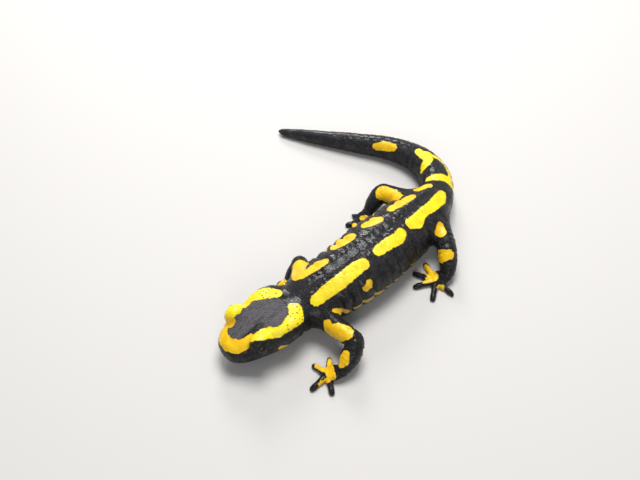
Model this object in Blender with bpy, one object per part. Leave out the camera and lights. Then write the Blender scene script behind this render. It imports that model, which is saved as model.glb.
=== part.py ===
"""Fire salamander, still life-size model: body, limbs, toes and eyes as closed solids.

Frame: head towards -Y, the animal's left is +X, up is +Z, floor at z = 0,
origin on the floor under the middle of the trunk. The shapes are worked out in
millimetres and every finished node is brought to metres at the end.
"""
import math

import bmesh
import bpy
import numpy as np
from mathutils import Matrix, Vector
from mathutils.bvhtree import BVHTree

METRES = 0.001                 # size of one millimetre in the finished nodes

# ---------------------------------------------------------------- driving sizes
GAP = 0.3                      # clearance left between neighbouring pieces
DISC_SIDES = 24                # sides of a dividing disc
FLOOR_SINK = 0.5               # how far flesh is modelled below the floor before the flats are cut
VOXEL = 0.52                   # grain of the merged flesh
CRUMB = 1.0                    # cubic millimetres; smaller offcuts of the dividing are dropped
FACE_BUDGET = 5000             # triangles kept in the merged flesh
RING_POINTS = 32               # points round each body section
BODY_STEP = 1.6                # spacing of body sections along the spine
SQUARENESS = 2.25              # superellipse exponent of a body section
MID_STATION = 62.0             # spine length from the snout to the origin

EYE_DIAMETER = 4.6
EYE_STATION = 10.2
EYE_SIDE = 8.5                 # distance of an eye centre from the head's midline
EYE_HEIGHT = 11.8
LID_DIAMETER = 7.2
LID_SIDE = 7.2
LID_HEIGHT = 12.4
PAROTOID_SIZE = (4.4, 7.2, 3.3)
PAROTOID_STATION = 21.5
PAROTOID_SIDE = 6.8
PAROTOID_HEIGHT = 11.8
MOUTH_HEIGHT = 5.9             # height of the mouth line above the floor
MOUTH_DEPTH = 16.5             # station of the jaw corner
JAW_SINK = 1.2                 # how much the mouth line drops from snout to jaw corner

# heading of the spine (degrees, snout towards tail tip) at stations in mm
SPINE = [
    (0, 84.5), (14, 82), (28, 79.5), (42, 80), (62, 89.5), (84, 92.5), (94, 98.5),
    (102, 110), (110, 130), (118, 156), (126, 180), (136, 199), (150, 211.5), (186, 208),
]
# station, half width, top and underside of the body in mm
PROFILE = [
    (0.0, 0.6, 7.8, 6.4),
    (0.5, 2.9, 9.2, 4.7),
    (1.4, 4.7, 10.3, 3.7),
    (4.0, 7.0, 11.9, 2.9),
    (9.0, 8.9, 13.7, 2.3),
    (15.0, 10.3, 14.7, 2.0),
    (20.0, 10.7, 15.0, 1.8),
    (25.0, 10.0, 14.8, 1.5),
    (29.5, 9.2, 14.8, 1.0),
    (36.0, 10.1, 16.4, 0.3),
    (46.0, 11.6, 18.0, -0.5),
    (63.0, 12.4, 18.8, -0.6),
    (80.0, 11.5, 17.8, -0.5),
    (92.0, 9.9, 16.0, -0.3),
    (101.0, 8.0, 13.6, -0.4),
    (108.0, 6.6, 12.1, -0.5),
    (118.0, 5.7, 11.0, -0.5),
    (130.0, 4.8, 10.0, -0.5),
    (145.0, 3.9, 8.5, -0.5),
    (160.0, 3.1, 6.9, -0.4),
    (172.0, 2.3, 5.3, -0.3),
    (180.0, 1.65, 4.0, -0.2),
    (184.4, 1.05, 3.0, 0.2),
    (186.0, 0.3, 2.1, 1.3),
]

# each limb: centre line (x, y, z, half width, half height) in mm, root first
LIMBS = {
    "arm_left": [
        (1.5, -26.5, 8.6, 5.0, 5.2), (6.5, -27.2, 8.4, 4.3, 4.6), (13.2, -27.5, 8.6, 3.5, 3.6),
        (19.6, -27.0, 8.5, 3.3, 3.4), (22.2, -31.2, 6.0, 3.5, 3.5), (22.9, -35.6, 3.5, 2.4, 2.3),
        (20.9, -38.4, 1.9, 2.9, 1.7), (19.9, -39.6, 1.5, 2.2, 1.4),
    ],
    "arm_right": [
        (-5.5, -25.4, 8.8, 5.0, 5.2), (-10.0, -22.8, 8.9, 4.1, 4.3), (-13.7, -19.6, 8.8, 3.3, 3.3),
        (-16.9, -17.2, 7.3, 3.0, 3.0), (-17.0, -20.2, 4.6, 2.6, 2.6), (-16.5, -23.4, 2.6, 2.0, 1.9),
        (-16.9, -26.0, 1.7, 2.6, 1.6), (-17.1, -27.2, 1.4, 2.0, 1.3),
    ],
    "leg_left": [
        (-1.0, 35.5, 8.0, 5.6, 5.6), (4.6, 32.6, 8.0, 4.8, 5.0), (9.8, 29.3, 8.2, 4.0, 4.1),
        (15.2, 26.0, 7.9, 3.7, 3.7), (19.2, 22.8, 5.6, 3.4, 3.3), (21.7, 19.6, 3.3, 2.5, 2.2),
        (20.7, 17.2, 1.9, 3.2, 1.7), (20.0, 15.8, 1.5, 2.4, 1.4),
    ],
    "leg_right": [
        (-3.2, 33.2, 8.0, 5.6, 5.6), (-9.2, 31.4, 8.0, 4.7, 4.9), (-14.0, 29.9, 8.0, 3.9, 4.0),
        (-18.6, 28.2, 7.6, 3.6, 3.6), (-19.0, 24.4, 5.2, 3.1, 3.0), (-18.4, 20.8, 3.1, 2.3, 2.1),
        (-18.2, 18.0, 1.8, 3.0, 1.7), (-18.0, 16.6, 1.4, 2.3, 1.4),
    ],
}
# toe tips (x, y) in mm, inner toe first; each toe springs from the last point of its limb
TOES = {
    "arm_left": [(16.0, -35.0), (14.0, -40.5), (19.8, -47.2), (25.6, -43.6)],
    "arm_right": [(-13.0, -29.8), (-14.6, -32.6), (-17.8, -32.8), (-20.9, -30.2)],
    "leg_left": [(12.6, 18.6), (12.4, 12.8), (16.4, 8.6), (24.4, 9.0), (27.6, 15.2)],
    "leg_right": [(-12.4, 14.6), (-14.4, 10.2), (-17.8, 9.2), (-20.9, 12.0), (-22.4, 17.2)],
}
TOE_ROOT = (1.35, 1.15)        # half width and half height of a toe at its root, mm
TOE_TIP = (0.95, 0.85)         # the same near its tip, mm
TOE_HEIGHT = 0.72              # height of a toe's centre line above the floor, mm
NAIL_DROP = 0.1                # the tip lies this much lower than the root, mm

# stations in mm where the body is divided
BODY_CUTS = [23.6, 32.0, 66.0, 102.5, 128.0, 158.0]
# table rows at which each limb is divided: from the body, at the elbow or knee, at the wrist or ankle
LIMB_CUTS = {
    "arm_left": (1.75, 3.1, 5.05), "arm_right": (2.1, 3.0, 5.05),
    "leg_left": (1.95, 3.1, 5.05), "leg_right": (1.85, 3.1, 5.05),
}
# heading in degrees of the flank beside each limb root; the first cut of a limb lies along it
FLANK_HEADING = {"arm_left": 72, "arm_right": 90, "leg_left": 104, "leg_right": 86}
SECTION_SPREAD = 2.2           # widest reach of a section over its middling reach
CUT_MARGIN = 0.45              # a dividing disc reaches this far past the flesh

COLOURS = {
    "skin_black": (0.012, 0.012, 0.016, 1.0),
    "skin_yellow": (0.85, 0.62, 0.02, 1.0),
    "skin_belly": (0.030, 0.028, 0.026, 1.0),
    "eye_black": (0.004, 0.003, 0.003, 1.0),
}


# ---------------------------------------------------------------- curves through tables
def slopes(xs, ys):
    """Monotone slopes for a smooth curve through a table."""
    step = np.diff(xs)
    rise = np.diff(ys) / step
    out = np.zeros(len(xs))
    out[0] = rise[0]
    out[-1] = rise[-1]
    for i in range(1, len(xs) - 1):
        if rise[i - 1] * rise[i] > 0:
            before = 2 * step[i] + step[i - 1]
            after = step[i] + 2 * step[i - 1]
            out[i] = (before + after) / (before / rise[i - 1] + after / rise[i])
    return out


def curve(xs, ys, at):
    """Value of the smooth curve through (xs, ys) at each place in at."""
    xs = np.asarray(xs, float)
    ys = np.asarray(ys, float)
    tangent = slopes(xs, ys)
    at = np.clip(at, xs[0], xs[-1])
    i = np.clip(np.searchsorted(xs, at, side="right") - 1, 0, len(xs) - 2)
    width = xs[i + 1] - xs[i]
    t = (at - xs[i]) / width
    low = ys[i] * (1 + 2 * t) * (1 - t) ** 2 + tangent[i] * width * t * (1 - t) ** 2
    high = ys[i + 1] * t * t * (3 - 2 * t) + tangent[i + 1] * width * t * t * (t - 1)
    return low + high


def spine_points(stations):
    """Positions on the floor and headings of the spine at the given stations (metres)."""
    fine = np.linspace(0, PROFILE[-1][0], 1861)
    table = np.array(SPINE, float)
    heading = np.radians(curve(table[:, 0], table[:, 1], fine))
    step = fine[1] - fine[0]
    run_x = np.concatenate([[0], np.cumsum((np.cos(heading[1:]) + np.cos(heading[:-1])) / 2 * step)])
    run_y = np.concatenate([[0], np.cumsum((np.sin(heading[1:]) + np.sin(heading[:-1])) / 2 * step)])
    run_x -= np.interp(MID_STATION, fine, run_x)
    run_y -= np.interp(MID_STATION, fine, run_y)
    return (
        np.interp(stations, fine, run_x),
        np.interp(stations, fine, run_y),
        np.interp(stations, fine, heading),
    )


def on_head(station, side, height):
    """World point from head coordinates; side is positive on the animal's left."""
    x, y, heading = spine_points(np.array([station]))
    return Vector((x[0] + math.sin(heading[0]) * side, y[0] - math.cos(heading[0]) * side, height))


# ---------------------------------------------------------------- solids
def mesh_from_rings(rings):
    """Closed tube through a stack of rings (arrays of points), capped at both ends."""
    solid = bmesh.new()
    rows = [[solid.verts.new(point) for point in ring] for ring in rings]
    count = len(rows[0])
    for lower, upper in zip(rows, rows[1:]):
        for i in range(count):
            j = (i + 1) % count
            solid.faces.new((lower[i], lower[j], upper[j], upper[i]))
    for row in (rows[0], rows[-1]):
        middle = sum((vert.co for vert in row), Vector()) / count
        pole = solid.verts.new(middle)
        for i in range(count):
            solid.faces.new((row[i], row[(i + 1) % count], pole))
    bmesh.ops.recalc_face_normals(solid, faces=solid.faces)
    return solid


def body_rings():
    """Superellipse sections from the snout to the tail tip."""
    table = np.array(PROFILE)
    inner = np.arange(2.0, 184.0, BODY_STEP)
    stations = np.concatenate([[0, 0.2, 0.5, 0.9, 1.4], inner, [184.4, 185.2, 185.8, 186]])
    x, y, heading = spine_points(stations)
    half, top, under = (curve(table[:, 0], table[:, k], stations) for k in (1, 2, 3))
    angle = np.linspace(0, 2 * math.pi, RING_POINTS, endpoint=False)
    across = np.sign(np.cos(angle)) * np.abs(np.cos(angle)) ** (2 / SQUARENESS)
    upward = np.sign(np.sin(angle)) * np.abs(np.sin(angle)) ** (2 / SQUARENESS)
    rings = []
    for i in range(len(stations)):
        side = half[i] * across
        ring = np.stack([
            x[i] + math.sin(heading[i]) * side,
            y[i] - math.cos(heading[i]) * side,
            (top[i] + under[i]) / 2 + (top[i] - under[i]) / 2 * upward,
        ], axis=-1)
        ring[:, 2] = np.maximum(ring[:, 2], -FLOOR_SINK)
        rings.append(ring)
    return rings


def limb_line(name, at):
    """Centre, half width and half height of a limb at positions counted in table rows."""
    table = np.array(LIMBS[name])
    rows = np.arange(len(table))
    return np.stack([curve(rows, table[:, k], at) for k in range(5)], axis=-1)


def tube(points, ring_points=16):
    """Closed tube along points (x, y, z, half width, half height) with rounded ends."""
    points = np.asarray(points)
    along = np.gradient(points[:, :3], axis=0)
    along /= np.linalg.norm(along, axis=1)[:, None]
    angle = np.linspace(0, 2 * math.pi, ring_points, endpoint=False)
    sections = []
    for turn in (70, 45, 20):
        sections.append((0, -math.sin(math.radians(turn)), math.cos(math.radians(turn))))
    sections += [(i, 0.0, 1.0) for i in range(len(points))]
    for turn in (20, 45, 70):
        sections.append((len(points) - 1, math.sin(math.radians(turn)), math.cos(math.radians(turn))))
    rings = []
    for i, reach, shrink in sections:
        forward = along[i]
        side = np.cross(forward, (0, 0, 1.0))
        side /= np.linalg.norm(side)
        rise = np.cross(side, forward)
        half, height = points[i, 3], points[i, 4]
        centre = points[i, :3] + forward * reach * min(half, height)
        ring = centre + shrink * (
            half * np.cos(angle)[:, None] * side + height * np.sin(angle)[:, None] * rise
        )
        rings.append(ring)
    return mesh_from_rings(rings)


def ball(centre, size, squash=(1, 1, 1), turn=0.0, detail=3):
    """Rounded lump of the given diameter, stretched by squash and turned about the vertical."""
    solid = bmesh.new()
    bmesh.ops.create_icosphere(solid, subdivisions=detail, radius=size / 2)
    shape = Matrix.Translation(centre) @ Matrix.Rotation(turn, 4, "Z") @ Matrix.Diagonal((*squash, 1))
    bmesh.ops.transform(solid, matrix=shape, verts=solid.verts)
    return solid


def toe(name, tip):
    """One toe from the end of a limb to its tip."""
    root = np.array(LIMBS[name][-1][:3])
    end = np.array([tip[0], tip[1], TOE_HEIGHT - NAIL_DROP])
    start = np.array([root[0], root[1], TOE_HEIGHT + 0.35])
    rows = []
    for t in np.linspace(0, 1, 7):
        centre = start + (end - start) * t
        centre[2] += 0.25 * math.sin(math.pi * t)
        half = TOE_ROOT[0] + (TOE_TIP[0] - TOE_ROOT[0]) * t
        height = TOE_ROOT[1] + (TOE_TIP[1] - TOE_ROOT[1]) * t
        rows.append((*centre, half, height))
    return tube(np.array(rows), 12)


def disc(centre, direction, radius):
    """Thin round plate square to a direction."""
    solid = bmesh.new()
    bmesh.ops.create_cone(
        solid, cap_ends=True, segments=DISC_SIDES, radius1=radius, radius2=radius, depth=GAP
    )
    spin = Vector(direction).to_track_quat("Z", "Y").to_matrix().to_4x4()
    bmesh.ops.transform(solid, matrix=Matrix.Translation(centre) @ spin, verts=solid.verts)
    return solid


def merged(name, solids):
    """One mesh object holding several closed solids."""
    mesh = bpy.data.meshes.new(name)
    whole = bmesh.new()
    for solid in solids:
        scratch = bpy.data.meshes.new("scratch")
        solid.to_mesh(scratch)
        whole.from_mesh(scratch)
        bpy.data.meshes.remove(scratch)
        solid.free()
    whole.to_mesh(mesh)
    whole.free()
    item = bpy.data.objects.new(name, mesh)
    bpy.context.scene.collection.objects.link(item)
    return item


def baked(item):
    """Replace an object's mesh with the result of its modifiers."""
    graph = bpy.context.evaluated_depsgraph_get()
    result = bpy.data.meshes.new_from_object(item.evaluated_get(graph))
    item.modifiers.clear()
    old = item.data
    item.data = result
    bpy.data.meshes.remove(old)


def cut_away(item, tool):
    """Subtract a tool object from an item and discard the tool."""
    modifier = item.modifiers.new("cut", "BOOLEAN")
    modifier.operation = "DIFFERENCE"
    modifier.solver = "EXACT"
    modifier.object = tool
    baked(item)
    bpy.data.objects.remove(tool)


# ---------------------------------------------------------------- flesh
def make_flesh():
    """Body, limbs, toes, eyelids and parotoid swellings merged into one smooth solid."""
    solids = [mesh_from_rings(body_rings())]
    for name, rows in LIMBS.items():
        solids.append(tube(limb_line(name, np.linspace(0, len(rows) - 1, 36))))
        solids += [toe(name, tip) for tip in TOES[name]]
    _, _, heading = spine_points(np.array([EYE_STATION]))
    turn = heading[0] - math.pi / 2
    for side in (1, -1):
        lid = on_head(EYE_STATION + 0.4, side * LID_SIDE, LID_HEIGHT)
        solids.append(ball(lid, LID_DIAMETER, (0.92, 1.12, 0.94), turn))
        gland = on_head(PAROTOID_STATION, side * PAROTOID_SIDE, PAROTOID_HEIGHT)
        squash = [size / PAROTOID_SIZE[0] for size in PAROTOID_SIZE]
        solids.append(ball(gland, 2 * PAROTOID_SIZE[0], squash, turn))
    flesh = merged("flesh", solids)
    remesh = flesh.modifiers.new("grain", "REMESH")
    remesh.mode = "VOXEL"
    remesh.voxel_size = VOXEL
    soften = flesh.modifiers.new("soften", "SMOOTH")
    soften.factor = 0.5
    soften.iterations = 4
    baked(flesh)
    thin = flesh.modifiers.new("thin", "DECIMATE")
    thin.ratio = FACE_BUDGET / (2 * len(flesh.data.polygons))
    baked(flesh)
    below = bmesh.new()
    bmesh.ops.create_cube(below, size=1.0)
    place = Matrix.Translation((0, 0, -5)) @ Matrix.Diagonal((400, 400, 10, 1))
    bmesh.ops.transform(below, matrix=place, verts=below.verts)
    cut_away(flesh, merged("below_floor", [below]))
    return flesh


def section_reach(surface, centre, direction):
    """Distance from a centre to the farthest flesh in the plane square to a direction."""
    side = direction.orthogonal().normalized()
    rise = direction.cross(side)
    hits = []
    for i in range(36):
        angle = 2 * math.pi * i / 36
        hit = surface.ray_cast(centre, side * math.cos(angle) + rise * math.sin(angle))
        hits.append(hit[3])
    middling = sorted(hits)[18]
    return max(hit for hit in hits if hit < SECTION_SPREAD * middling)


def dividing_discs(flesh):
    """Thin discs across the body and limbs where the pieces part."""
    source = bmesh.new()
    source.from_mesh(flesh.data)
    surface = BVHTree.FromBMesh(source)
    source.free()
    sections = []
    table = np.array(PROFILE)
    for station in BODY_CUTS:
        height = sum(curve(table[:, 0], table[:, k], np.array([station]))[0] for k in (2, 3)) / 2
        _, _, heading = spine_points(np.array([station]))
        direction = Vector((math.cos(heading[0]), math.sin(heading[0]), 0))
        sections.append((on_head(station, 0.0, height), direction))
    for name, rows in LIMB_CUTS.items():
        root = Vector(limb_line(name, np.array([rows[0]]))[0, :3])
        flank = math.radians(FLANK_HEADING[name])
        sections.append((root, Vector((math.sin(flank), -math.cos(flank), 0))))
        for row in rows[1:]:
            before, here, after = limb_line(name, np.array([row - 0.5, row, row + 0.5]))[:, :3]
            sections.append((Vector(here), Vector(after - before).normalized()))
    discs = []
    for centre, direction in sections:
        reach = section_reach(surface, centre, direction)
        discs.append(disc(centre, direction, (reach + CUT_MARGIN) / math.cos(math.pi / DISC_SIDES)))
    return discs


def mouth_sheet():
    """Thin step-shaped sheet that frees the lower jaw."""
    sheet = bmesh.new()
    corners = [
        (-3, MOUTH_HEIGHT), (MOUTH_DEPTH, MOUTH_HEIGHT - JAW_SINK),
        (MOUTH_DEPTH + 2.6, -3), (MOUTH_DEPTH + 2.6 + GAP, -3),
        (MOUTH_DEPTH + GAP, MOUTH_HEIGHT - JAW_SINK + GAP), (-3, MOUTH_HEIGHT + GAP),
    ]
    start = on_head(0.0, 0.0, 0.0)
    end = on_head(MOUTH_DEPTH, 0.0, 0.0)
    forward = (end - start).normalized()
    side = Vector((forward.y, -forward.x, 0))
    left, right = (
        [sheet.verts.new(start + forward * s + side * reach + Vector((0, 0, z))) for s, z in corners]
        for reach in (14, -14)
    )
    sheet.faces.new(left)
    sheet.faces.new(right[::-1])
    for i in range(len(corners)):
        j = (i + 1) % len(corners)
        sheet.faces.new((left[i], right[i], right[j], left[j]))
    bmesh.ops.recalc_face_normals(sheet, faces=sheet.faces)
    bmesh.ops.triangulate(sheet, faces=sheet.faces)
    return sheet


def loose_pieces(item):
    """Split an object into its separate closed bodies."""
    source = bmesh.new()
    source.from_mesh(item.data)
    source.verts.ensure_lookup_table()
    unseen = set(range(len(source.verts)))
    groups = []
    while unseen:
        stack = [unseen.pop()]
        group = set(stack)
        while stack:
            for edge in source.verts[stack.pop()].link_edges:
                for vert in edge.verts:
                    if vert.index in unseen:
                        unseen.discard(vert.index)
                        group.add(vert.index)
                        stack.append(vert.index)
        groups.append(group)
    pieces = []
    for group in groups:
        piece = source.copy()
        piece.verts.ensure_lookup_table()
        extra = [vert for vert in piece.verts if vert.index not in group]
        bmesh.ops.delete(piece, geom=extra, context="VERTS")
        pieces.append(piece)
    source.free()
    return pieces


def anchors():
    """Named places used to tell the separated pieces apart."""
    places = {}
    for name, station, height in (
        ("head", 13.0, 10.5), ("lower_jaw", 9.0, 3.6), ("neck", 28.5, 8.0), ("trunk_front", 50.0, 9.0),
        ("trunk_rear", 84.0, 9.0), ("tail_base", 115.0, 6.0), ("tail_middle", 143.0, 4.5),
        ("tail_tip", 172.0, 3.0),
    ):
        places[name] = on_head(station, 0.0, height)
    parts = {"arm": ("upper_arm", "forearm", "hand"), "leg": ("thigh", "shank", "foot")}
    for name in LIMBS:
        kind, side = name.split("_")
        for part, row in zip(parts[kind], (2.2, 4.0, 6.4)):
            places[part + "_" + side] = Vector(limb_line(name, np.array([row]))[0, :3])
    return places


def material(name):
    """Plain painted material of a node or colour name."""
    found = bpy.data.materials.new(name)
    found.use_nodes = True
    shader = found.node_tree.nodes["Principled BSDF"]
    shader.inputs["Base Color"].default_value = COLOURS[name.split(".")[0]]
    shader.inputs["Roughness"].default_value = 0.12 if name.startswith("eye") else 0.42
    shader.inputs["Coat Weight"].default_value = 0.4
    return found


YELLOW_NODES = ("upper_arm", "thigh", "hand", "foot")


def colour_of(name):
    """Which paint a node wears."""
    if name.startswith("eye"):
        return "eye_black"
    if name.startswith(YELLOW_NODES):
        return "skin_yellow"
    if name == "lower_jaw":
        return "skin_belly"
    return "skin_black"


def add_node(name, piece):
    """Link one named, closed, smooth-shaded node with its own material."""
    bmesh.ops.remove_doubles(piece, verts=piece.verts, dist=0.02)
    bmesh.ops.dissolve_degenerate(piece, edges=piece.edges, dist=0.01)
    bmesh.ops.triangulate(piece, faces=piece.faces)
    bmesh.ops.recalc_face_normals(piece, faces=piece.faces)
    bmesh.ops.scale(piece, vec=(METRES, METRES, METRES), verts=piece.verts)
    mesh = bpy.data.meshes.new(name)
    piece.to_mesh(mesh)
    piece.free()
    mesh.materials.append(material(colour_of(name) + "." + name))
    mesh.shade_smooth()
    mesh.set_sharp_from_angle(angle=math.radians(50))
    bpy.context.scene.collection.objects.link(bpy.data.objects.new(name, mesh))


def build():
    """Make every node of the salamander."""
    flesh = make_flesh()
    sockets = []
    for side, label in ((1, "left"), (-1, "right")):
        centre = on_head(EYE_STATION, side * EYE_SIDE, EYE_HEIGHT)
        sockets.append(ball(centre, EYE_DIAMETER + 2 * GAP))
        add_node("eye_" + label, ball(centre, EYE_DIAMETER))
    for tool in [*sockets, mouth_sheet(), *dividing_discs(flesh)]:
        cut_away(flesh, merged("tool", [tool]))
    places = anchors()
    for piece in loose_pieces(flesh):
        if piece.calc_volume() < CRUMB:
            piece.free()
            continue
        middle = sum((vert.co for vert in piece.verts), Vector()) / len(piece.verts)
        name = min(places, key=lambda key: (places[key] - middle).length)
        places.pop(name)
        add_node(name, piece)
    bpy.data.objects.remove(flesh)


for old in list(bpy.data.objects):
    bpy.data.objects.remove(old)
build()
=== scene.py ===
# %% [markdown]
# # Fire salamander, a still life-size model
# A fire salamander is a stout, moist-skinned amphibian about as long as a hand. It is jet black
# with egg-yellow bands, and the same skin runs without a seam from the snout to the tail tip.
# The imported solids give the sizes. This lesson dresses them: one continuous skin over every
# solid of flesh, two wet eyes, the gland pores of the skin, and a plain studio round them.

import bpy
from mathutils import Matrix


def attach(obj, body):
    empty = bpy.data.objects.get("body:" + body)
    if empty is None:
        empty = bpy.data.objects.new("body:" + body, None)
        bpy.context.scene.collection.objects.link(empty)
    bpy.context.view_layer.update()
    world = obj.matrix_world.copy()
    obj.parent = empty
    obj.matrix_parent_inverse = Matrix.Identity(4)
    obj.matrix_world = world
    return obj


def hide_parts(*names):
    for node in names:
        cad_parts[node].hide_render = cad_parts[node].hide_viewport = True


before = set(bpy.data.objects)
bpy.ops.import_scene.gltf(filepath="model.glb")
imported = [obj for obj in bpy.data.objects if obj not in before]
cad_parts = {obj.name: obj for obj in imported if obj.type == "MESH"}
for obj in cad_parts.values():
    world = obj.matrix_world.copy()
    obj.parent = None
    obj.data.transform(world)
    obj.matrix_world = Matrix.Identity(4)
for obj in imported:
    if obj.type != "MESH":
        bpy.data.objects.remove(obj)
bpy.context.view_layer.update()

import math

import bmesh
import bpy
import numpy as np
from mathutils import Vector, noise
from mathutils.bvhtree import BVHTree
from mathutils.kdtree import KDTree

METRES = 0.001                 # one millimetre in scene units; shapes are worked out in millimetres
EYES = ("eye_left", "eye_right")
FLESH = [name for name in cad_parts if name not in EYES]

# %% [markdown]
# ## The plan of the body
# The backbone lies on the floor plan as one curve. A table of headings along it bends the body:
# the head and trunk point almost straight ahead, then the tail swings round in a hook. A second
# table gives the half width, top and underside of the body at stations along the backbone.
# Smooth curves through two short tables are easier to correct than hundreds of points, so
# every later step asks these tables where it is.

# %% Backbone and profile tables, in millimetres and degrees
SPINE = [
    (0, 84.5), (14, 82), (28, 79.5), (42, 80), (62, 89.5), (84, 92.5), (94, 98.5),
    (102, 110), (110, 130), (118, 156), (126, 180), (136, 199), (150, 211.5), (186, 208),
]
PROFILE = [
    (0.0, 0.6, 7.8, 6.4), (0.5, 2.9, 9.2, 4.7), (1.4, 4.7, 10.3, 3.7), (4.0, 7.0, 11.9, 2.9),
    (9.0, 8.9, 13.7, 2.3), (15.0, 10.3, 14.7, 2.0), (20.0, 10.7, 15.0, 1.8), (25.0, 10.0, 14.8, 1.5),
    (29.5, 9.2, 14.8, 1.0), (36.0, 10.1, 16.4, 0.3), (46.0, 11.6, 18.0, -0.5), (63.0, 12.4, 18.8, -0.6),
    (80.0, 11.5, 17.8, -0.5), (92.0, 9.9, 16.0, -0.3), (101.0, 8.0, 13.6, -0.4), (108.0, 6.6, 12.1, -0.5),
    (118.0, 5.7, 11.0, -0.5), (130.0, 4.8, 10.0, -0.5), (145.0, 3.9, 8.5, -0.5), (160.0, 3.1, 6.9, -0.4),
    (172.0, 2.3, 5.3, -0.3), (180.0, 1.65, 4.0, -0.2), (184.4, 1.05, 3.0, 0.2), (186.0, 0.3, 2.1, 1.3),
]
MID_STATION = 62.0             # distance along the back from snout to origin
SQUARENESS = 2.25              # superellipse exponent of a body section
FLOOR_SINK = 0.5               # flesh is drawn this far below the floor, then pressed flat


def curve(table, column, at):
    """Smooth monotone curve through one column of a table."""
    rows = np.asarray(table, float)
    xs, ys = rows[:, 0], rows[:, column]
    gap = np.diff(xs)
    rise = np.diff(ys) / gap
    slope = np.concatenate([[rise[0]], np.zeros(len(xs) - 2), [rise[-1]]])
    for i in range(1, len(xs) - 1):
        if rise[i - 1] * rise[i] > 0:
            before, after = 2 * gap[i] + gap[i - 1], gap[i] + 2 * gap[i - 1]
            slope[i] = (before + after) / (before / rise[i - 1] + after / rise[i])
    at = np.clip(at, xs[0], xs[-1])
    i = np.clip(np.searchsorted(xs, at, side="right") - 1, 0, len(xs) - 2)
    t = (at - xs[i]) / gap[i]
    low = ys[i] * (1 + 2 * t) * (1 - t) ** 2 + slope[i] * gap[i] * t * (1 - t) ** 2
    high = ys[i + 1] * t * t * (3 - 2 * t) + slope[i + 1] * gap[i] * t * t * (t - 1)
    return low + high


FINE = np.linspace(0, PROFILE[-1][0], 1861)
HEADING = np.radians(curve(SPINE, 1, FINE))
STRIDE = FINE[1] - FINE[0]
SPINE_X = np.concatenate([[0], np.cumsum((np.cos(HEADING[1:]) + np.cos(HEADING[:-1])) / 2 * STRIDE)])
SPINE_Y = np.concatenate([[0], np.cumsum((np.sin(HEADING[1:]) + np.sin(HEADING[:-1])) / 2 * STRIDE)])
SPINE_X -= np.interp(MID_STATION, FINE, SPINE_X)
SPINE_Y -= np.interp(MID_STATION, FINE, SPINE_Y)


def section(station):
    """Place, heading, half width, top and underside of the body at stations."""
    station = np.asarray(station, float)
    x, y, h = (np.interp(station, FINE, values) for values in (SPINE_X, SPINE_Y, HEADING))
    return x, y, h, curve(PROFILE, 1, station), curve(PROFILE, 2, station), curve(PROFILE, 3, station)


def on_plan(station, side, height):
    """Point at a station, a distance to the animal's left, and a height."""
    x, y, h = section(station)[:3]
    return np.stack([x + np.sin(h) * side, y - np.cos(h) * side, height + 0 * x], axis=-1)


def on_skin(station, turn):
    """Point of the body surface at a station, turned in degrees from the ridge to the left."""
    _, _, _, half, top, under = section(station)
    turn = np.radians(turn)
    across = np.sign(np.sin(turn)) * np.abs(np.sin(turn)) ** (2 / SQUARENESS)
    upward = np.sign(np.cos(turn)) * np.abs(np.cos(turn)) ** (2 / SQUARENESS)
    return on_plan(station, half * across, (top + under) / 2 + (top - under) / 2 * upward)


print("body length along the back %.0f mm" % PROFILE[-1][0])

# %% [markdown]
# ## Limbs and toes
# Each limb is one bent tube: shoulder, upper arm, elbow, forearm, wrist and palm, or the same
# for a leg. Hands have four fingers and feet have five toes, round-tipped and without claws.
# A row of the table is one station of the limb with its half width and half height, so a hand
# is made flat by giving it more width than height.

# %% Limb tables, in millimetres
LIMBS = {
    "arm_left": [
        (1.5, -26.5, 8.6, 5.0, 5.2), (6.5, -27.2, 8.4, 4.3, 4.6), (13.2, -27.5, 8.6, 3.5, 3.6),
        (19.6, -27.0, 8.5, 3.3, 3.4), (22.2, -31.2, 6.0, 3.5, 3.5), (22.9, -35.6, 3.5, 2.4, 2.3),
        (20.9, -38.4, 1.9, 2.9, 1.7), (19.9, -39.6, 1.5, 2.2, 1.4),
    ],
    "arm_right": [
        (-5.5, -25.4, 8.8, 5.0, 5.2), (-10.0, -22.8, 8.9, 4.1, 4.3), (-13.7, -19.6, 8.8, 3.3, 3.3),
        (-16.9, -17.2, 7.3, 3.0, 3.0), (-17.0, -20.2, 4.6, 2.6, 2.6), (-16.5, -23.4, 2.6, 2.0, 1.9),
        (-16.9, -26.0, 1.7, 2.6, 1.6), (-17.1, -27.2, 1.4, 2.0, 1.3),
    ],
    "leg_left": [
        (-1.0, 35.5, 8.0, 5.6, 5.6), (4.6, 32.6, 8.0, 4.8, 5.0), (9.8, 29.3, 8.2, 4.0, 4.1),
        (15.2, 26.0, 7.9, 3.7, 3.7), (19.2, 22.8, 5.6, 3.4, 3.3), (21.7, 19.6, 3.3, 2.5, 2.2),
        (20.7, 17.2, 1.9, 3.2, 1.7), (20.0, 15.8, 1.5, 2.4, 1.4),
    ],
    "leg_right": [
        (-3.2, 33.2, 8.0, 5.6, 5.6), (-9.2, 31.4, 8.0, 4.7, 4.9), (-14.0, 29.9, 8.0, 3.9, 4.0),
        (-18.6, 28.2, 7.6, 3.6, 3.6), (-19.0, 24.4, 5.2, 3.1, 3.0), (-18.4, 20.8, 3.1, 2.3, 2.1),
        (-18.2, 18.0, 1.8, 3.0, 1.7), (-18.0, 16.6, 1.4, 2.3, 1.4),
    ],
}
TOES = {
    "arm_left": [(16.0, -35.0), (14.0, -40.5), (19.8, -47.2), (25.6, -43.6)],
    "arm_right": [(-13.0, -29.8), (-14.6, -32.6), (-17.8, -32.8), (-20.9, -30.2)],
    "leg_left": [(12.6, 18.6), (12.4, 12.8), (16.4, 8.6), (24.4, 9.0), (27.6, 15.2)],
    "leg_right": [(-12.4, 14.6), (-14.4, 10.2), (-17.8, 9.2), (-20.9, 12.0), (-22.4, 17.2)],
}
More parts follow.
